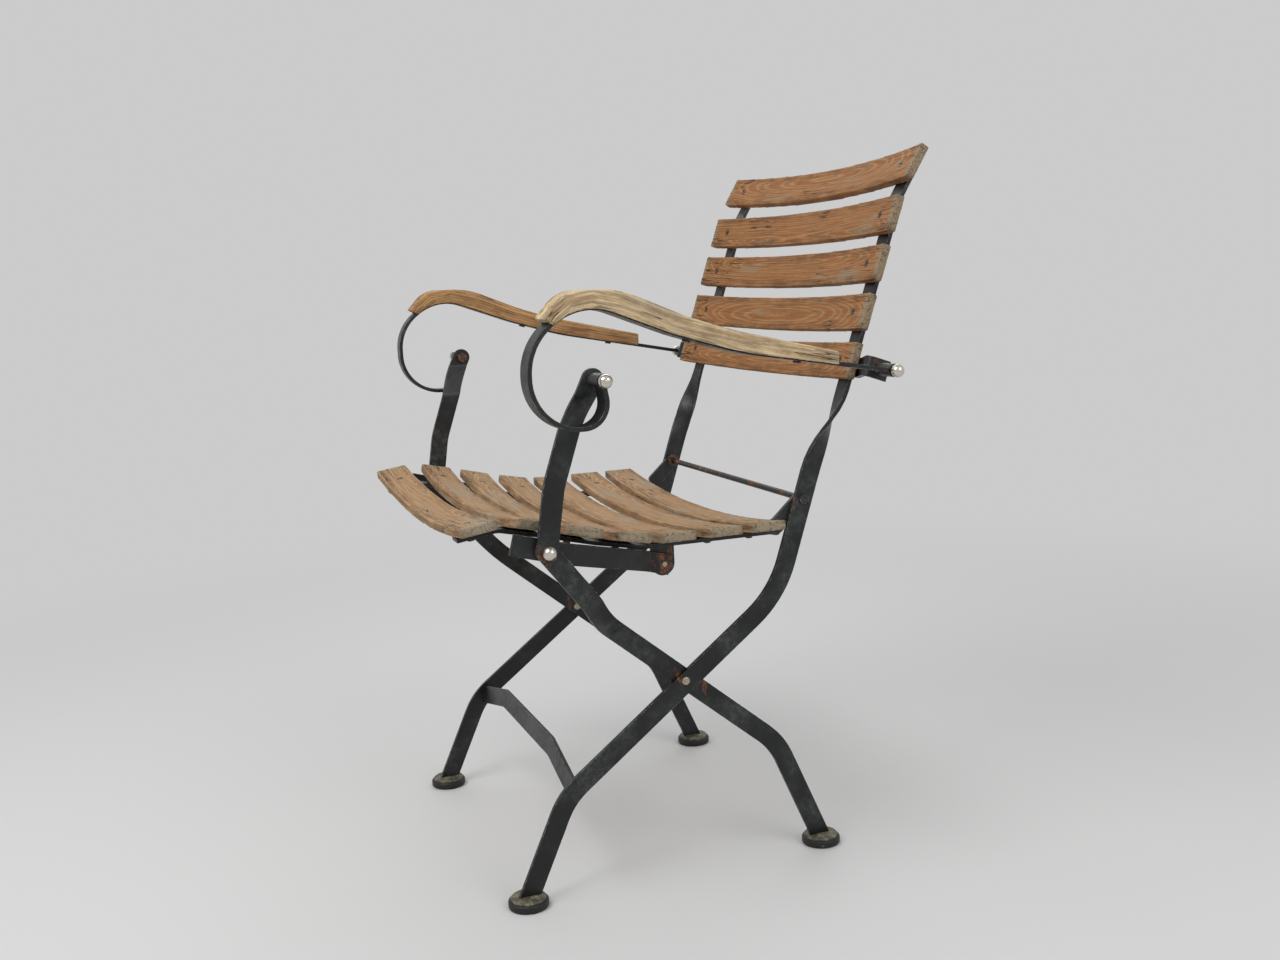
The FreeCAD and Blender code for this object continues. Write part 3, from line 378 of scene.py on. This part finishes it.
def remeshed(node):
    """Even mesh of a wooden CAD solid, with its edges worn round."""
    work = bpy.data.objects.new("work", NODES[node].data.copy())
    bpy.context.collection.objects.link(work)
    voxels = work.modifiers.new("voxels", "REMESH")
    voxels.mode = "VOXEL"
    voxels.voxel_size = WOOD_CELL
    voxels.use_smooth_shade = True
    smooth = work.modifiers.new("smooth", "SMOOTH")
    smooth.factor = 0.5
    smooth.iterations = WOOD_SMOOTHING
    bpy.context.view_layer.update()
    shaped = work.evaluated_get(bpy.context.evaluated_depsgraph_get())
    mesh = bpy.data.meshes.new_from_object(shaped)
    bpy.data.objects.remove(work)
    return mesh


def groove(fibre, scale, shift):
    """Depth of the grooves at a place along the fibres."""
    scaled = [place * times for place, times in zip(fibre, scale)]
    return max(0.0, texture.noise(Vector(scaled) + shift))


def weathered(node, locate, material, relief, seed):
    """Shows a wooden CAD node as a worn piece with grooves along its fibres.

    locate gives a point's place along, across and over the piece, its place in the tree,
    and its distances from the nearest end and from the nearest long edge.
    """
    mesh = remeshed(node)
    names = ("fibre", "grain", "margin")
    stores = {name: mesh.attributes.new(name, "FLOAT_VECTOR", "POINT") for name in names}
    values = {name: [] for name in names}
    shift = Vector([step * seed for step in PIECE_SHIFT])
    moved = []
    for vertex in mesh.vertices:
        fibre, grain, margin = locate(vertex.co)
        depth = (COARSE_SHARE * groove(fibre, COARSE_GROOVES, shift * COARSE_SHIFT)
                 + FINE_SHARE * groove(fibre, FINE_GROOVES, shift * FINE_SHIFT))
        moved.append(vertex.co - vertex.normal * relief * (EVEN_WEAR + GROOVE_WEAR * depth))
        values["fibre"].extend(fibre + shift)
        values["grain"].extend(grain)
        values["margin"].extend(margin)
    for vertex, point in zip(mesh.vertices, moved):
        vertex.co = point
    for name in names:
        stores[name].data.foreach_set("vector", values[name])
    piece = bpy.data.objects.new("worn_" + node, mesh)
    bpy.context.collection.objects.link(piece)
    mesh.materials.clear()
    mesh.materials.append(material)
    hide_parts(node)
    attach(piece, BODY_OF[node])


def slat_locator(node, seed):
    """Turns a point of a dished slat into its places, from the corners of the slat's end."""
    points = [vertex.co for vertex in NODES[node].data.vertices]
    half = max(point.x for point in points)
    corners = []
    for point in (point for point in points if point.x > half - SAME_POINT):
        if all((point - other).length > SAME_POINT for other in corners):
            corners.append(point.copy())
    thickness, width = sorted((corner - corners[0] for corner in corners[1:]),
                              key=lambda side: side.length)[:2]
    half_thickness, half_width = thickness.length / 2, width.length / 2
    across = width.normalized()
    middle = sum(corners, Vector()) / len(corners)
    middle.x = 0
    up = Vector((1, 0, 0)).cross(across)
    mean = sum(points, Vector()) / len(points)
    if (mean - middle).dot(up) > 0:
        up = -up
    dish = -min((point - middle).dot(up) for point in points) - half_thickness
    heart = Vector((0, SLAT_HEART_SIDE * math.sin(SLAT_SIDE_TURN * seed),
                    SLAT_HEART_DEPTH + SLAT_HEART_SWING * math.sin(SLAT_DEPTH_TURN * seed + 1)))

    def locate(point):
        away = point - middle
        over = away.dot(up)
        side = away.dot(across)
        level = over + dish * (1 - (point.x / half) ** 2)
        in_tree = Vector((point.x + SLAT_TREE_STEP * seed, side, over)) + heart
        from_edge = max(half_width - abs(side), 0) + max(half_thickness - abs(level), 0)
        return Vector((point.x, side, level)), in_tree, Vector((half - abs(point.x), from_edge, 0))

    return locate


def arm_locator(side, seed):
    """Turns a point of an arm's wood into its places along its middle line."""
    line = [Vector(at) for at in ARM_LINE]
    lengths = [0.0]
    for a, b in zip(line, line[1:]):
        lengths.append(lengths[-1] + (b - a).length)

    def locate(point):
        flat = Vector((point.y, point.z))
        best = None
        for a, b, start in zip(line, line[1:], lengths):
            run = (b - a).normalized()
            along = min(max((flat - a).dot(run), 0), (b - a).length)
            away = flat - a - run * along
            if best is None or away.length < best[0]:
                best = (away.length, start + along, run.x * away.y - run.y * away.x)
        middle_x = ARM_REAR_X + (ARM_REAR_PIVOT[0] - point.y) * ARM_SPLAY
        across = side * point.x - middle_x
        along, over = best[1], -best[2]
        in_tree = Vector((along + seed, across + ARM_HEART[0],
                          over + ARM_HEART[1] + ARM_GRAIN_RISE * along))
        from_end = min(along, lengths[-1] - along)
        from_edge = (max(ARM_HALF_WIDTH - abs(across), 0)
                     + max(ARM_HALF_THICKNESS - abs(over), 0))
        return Vector((along, across, over)), in_tree, Vector((from_end, from_edge, 0))

    return locate


def numbered(stem):
    """Nodes named with the stem and a number, in the order of their numbers."""
    names = [name for name in NODES if name.startswith(stem) and name[len(stem):].isdigit()]
    return sorted(names, key=lambda name: int(name[len(stem):]))


def pair(name):
    return name + "_left", name + "_right"


def dress(material, *names):
    """Gives CAD nodes a material."""
    for name in names:
        mesh = NODES[name].data
        mesh.materials.clear()
        mesh.materials.append(material)


# Wood, as (name, dark, middle, light and grey colour, grey share, split share, ring scale)
BACK_WOOD = wood("back_slat_oak", srgb(80, 50, 28), srgb(146, 96, 54), srgb(180, 132, 82),
                 srgb(140, 130, 108), 0.28, 0.35, SLAT_RINGS)
SEAT_WOOD = wood("seat_slat_oak", srgb(96, 70, 46), srgb(158, 122, 84), srgb(190, 156, 116),
                 srgb(148, 140, 120), 0.45, 0.3, SLAT_RINGS)
NEAR_ARM_WOOD = wood("arm_driftwood", srgb(112, 86, 58), srgb(200, 172, 130),
                     srgb(226, 204, 166), srgb(184, 174, 152), 0.6, 1.0, ARM_RINGS)
FAR_ARM_WOOD = wood("arm_brown", srgb(88, 58, 34), srgb(166, 122, 78), srgb(198, 158, 110),
                    srgb(150, 138, 114), 0.35, 0.6, ARM_RINGS)

back_slats = [(node, BACK_WOOD) for node in numbered("back_slat_")]
seat_slats = [(node, SEAT_WOOD) for node in numbered("seat_slat_")]
for seed, (node, material) in enumerate(back_slats + seat_slats, 1):
    weathered(node, slat_locator(node, seed), material, SLAT_RELIEF, seed)
for node, side, material, seed in (("arm_wood_left", 1, NEAR_ARM_WOOD, 14),
                                   ("arm_wood_right", -1, FAR_ARM_WOOD, 15)):
    weathered(node, arm_locator(side, seed), material, ARM_RELIEF, seed)

# Paint, as (name, rusty places with their reach, wear, rust)
FRAME_PAINT = paint("frame_paint", [(LEG_PIVOT, 0.022), (SEAT_PIVOT, 0.03)], 0.75, 0.25)
LEG_PAINT = paint("leg_paint", [(LEG_PIVOT, 0.06), (POST_PIVOT, 0.03)], 0.75, 0.4)
LINK_PAINT = paint("link_paint", [(LINK_PIVOT, 0.045)], 0.4, 0.8)
ARM_PAINT = paint("arm_paint", [(ARM_FRONT_PIVOT, 0.02), (ARM_REAR_PIVOT, 0.03)], 0.4, 0.25)
dress(FRAME_PAINT, *pair("back_bar"), "front_stretcher", "seat_pivot_rod")
dress(LEG_PAINT, *pair("rear_leg"), *pair("arm_post"))
dress(LINK_PAINT, *pair("seat_link"), *pair("seat_rail"))
dress(ARM_PAINT, *pair("arm_band"), *pair("arm_bracket"))

# Steel, as (name, base and tarnished colour, rust share, roughness)
SCREW = worn_steel("slat_screw_steel", srgb(104, 92, 78), srgb(58, 48, 40), 0.45, 0.42)
NUT = worn_steel("nut_steel", srgb(96, 88, 80), srgb(50, 44, 40), 0.6, 0.5)
RIVET = worn_steel("rivet_steel", srgb(206, 196, 176), srgb(120, 104, 84), 0.3, 0.36)
BALL = worn_steel("ball_nickel", srgb(222, 218, 208), srgb(196, 188, 176), 0.02, 0.14)
dress(SCREW, "back_slat_screws", "seat_slat_screws", *pair("arm_wood_screws"))
dress(NUT, "back_slat_nuts", "seat_slat_nuts", "arm_pivot_nuts", "arm_pivot_spacers",
      "seat_pivot_washers", *pair("seat_link_nut"), *pair("arm_post_nut"))
dress(RIVET, "leg_pivot_rivets", "seat_link_rivets")
dress(BALL, *pair("arm_pivot_bolt"), *pair("upper_ball_bolt"), *pair("lower_ball_bolt"))

# Feet, as (name, base and dust colour, dust share, roughness)
DISC = dusty("foot_disc_paint", srgb(70, 68, 56), srgb(138, 130, 108), 0.7, 0.55)
CAP = dusty("foot_cap_rubber", srgb(26, 26, 27), srgb(112, 106, 96), 0.3, 0.5)
dress(DISC, *pair("front_foot_disc"), *pair("rear_foot_disc"))
dress(CAP, *pair("front_foot_cap"), *pair("rear_foot_cap"))

# Floor, which passes into the colour of the backdrop between two distances from the chair
STUDIO_COLOR = (0.60, 0.60, 0.60, 1)
FLOOR_R = 40.0
FLOOR_SIDES = 96
FLOOR_FADE = (0.9, 2.4)
turns = [2 * math.pi * k / FLOOR_SIDES for k in range(FLOOR_SIDES)]
rim = [(FLOOR_R * math.cos(turn), FLOOR_R * math.sin(turn), 0) for turn in turns]
floor_mesh = bpy.data.meshes.new("floor")
floor_mesh.from_pydata(rim, [], [tuple(range(FLOOR_SIDES))])
floor = bpy.data.objects.new("floor", floor_mesh)
bpy.context.collection.objects.link(floor)
paper = Look("floor_paper")
paper.shade(Base_Color=STUDIO_COLOR, Roughness=0.9)
away = paper.node("VectorMath", {0: paper.place()}, operation="LENGTH").outputs["Value"]
far = paper.ramp(away, *FLOOR_FADE)
glow = paper.node("Emission", {"Color": STUDIO_COLOR, "Strength": 1.0})
blend = paper.node("MixShader", {0: far, 1: paper.shader.outputs[0], 2: glow.outputs[0]})
paper.put(paper.tree.nodes["Material Output"].inputs["Surface"], blend.outputs[0])
floor_mesh.materials.append(paper.material)

# World: white light on the chair, and the backdrop's colour where it is seen or mirrored
SKY_LIGHT = 0.55
world = bpy.data.worlds.new("studio")
bpy.context.scene.world = world
world.use_nodes = True
studio = Nodes(world.node_tree)
sky = studio.tree.nodes["Background"]
studio.put(sky.inputs["Color"], (1, 1, 1, 1))
studio.put(sky.inputs["Strength"], SKY_LIGHT)
backdrop = studio.node("Background", {"Color": STUDIO_COLOR})
rays = studio.node("LightPath").outputs
seen = studio.most(rays["Is Camera Ray"], rays["Is Glossy Ray"], rays["Is Transmission Ray"])
both = studio.node("MixShader", {0: seen, 1: sky.outputs[0], 2: backdrop.outputs[0]})
studio.put(studio.tree.nodes["World Output"].inputs["Surface"], both.outputs[0])

# Soft boxes, as (place, size, watts), all turned to the chair's middle
LAMPS = [((0.6, -1.8, 2.6), 1.8, 44), ((2.2, 0.9, 1.9), 1.6, 20), ((-1.8, 0.6, 2.2), 1.8, 16)]
AIM = Vector((0, 0, 0.45))
for at, size, watts in LAMPS:
    light = bpy.data.lights.new("soft_box", "AREA")
    light.size = size
    light.energy = watts
    lamp = bpy.data.objects.new("soft_box", light)
    lamp.location = at
    lamp.rotation_euler = (AIM - Vector(at)).to_track_quat("-Z", "Y").to_euler()
    bpy.context.collection.objects.link(lamp)

# Camera at the photo's angle
forward = Vector((-math.sin(CAMERA_YAW) * math.cos(CAMERA_PITCH),
                  math.cos(CAMERA_YAW) * math.cos(CAMERA_PITCH),
                  -math.sin(CAMERA_PITCH)))
level = forward.cross(Vector((0, 0, 1))).normalized()
upright = level.cross(forward)
right = level * math.cos(CAMERA_ROLL) + upright * math.sin(CAMERA_ROLL)
top = upright * math.cos(CAMERA_ROLL) - level * math.sin(CAMERA_ROLL)
matrix = Matrix((right, top, -forward)).transposed().to_4x4()
matrix.translation = Vector(CAMERA_PLACE)
camera = bpy.data.objects.new("camera", bpy.data.cameras.new("camera"))
bpy.context.collection.objects.link(camera)
camera.matrix_world = matrix
camera.data.sensor_width = CAMERA_SENSOR
camera.data.lens = CAMERA_LENS
bpy.context.scene.camera = camera
bpy.context.scene.view_settings.view_transform = "Standard"
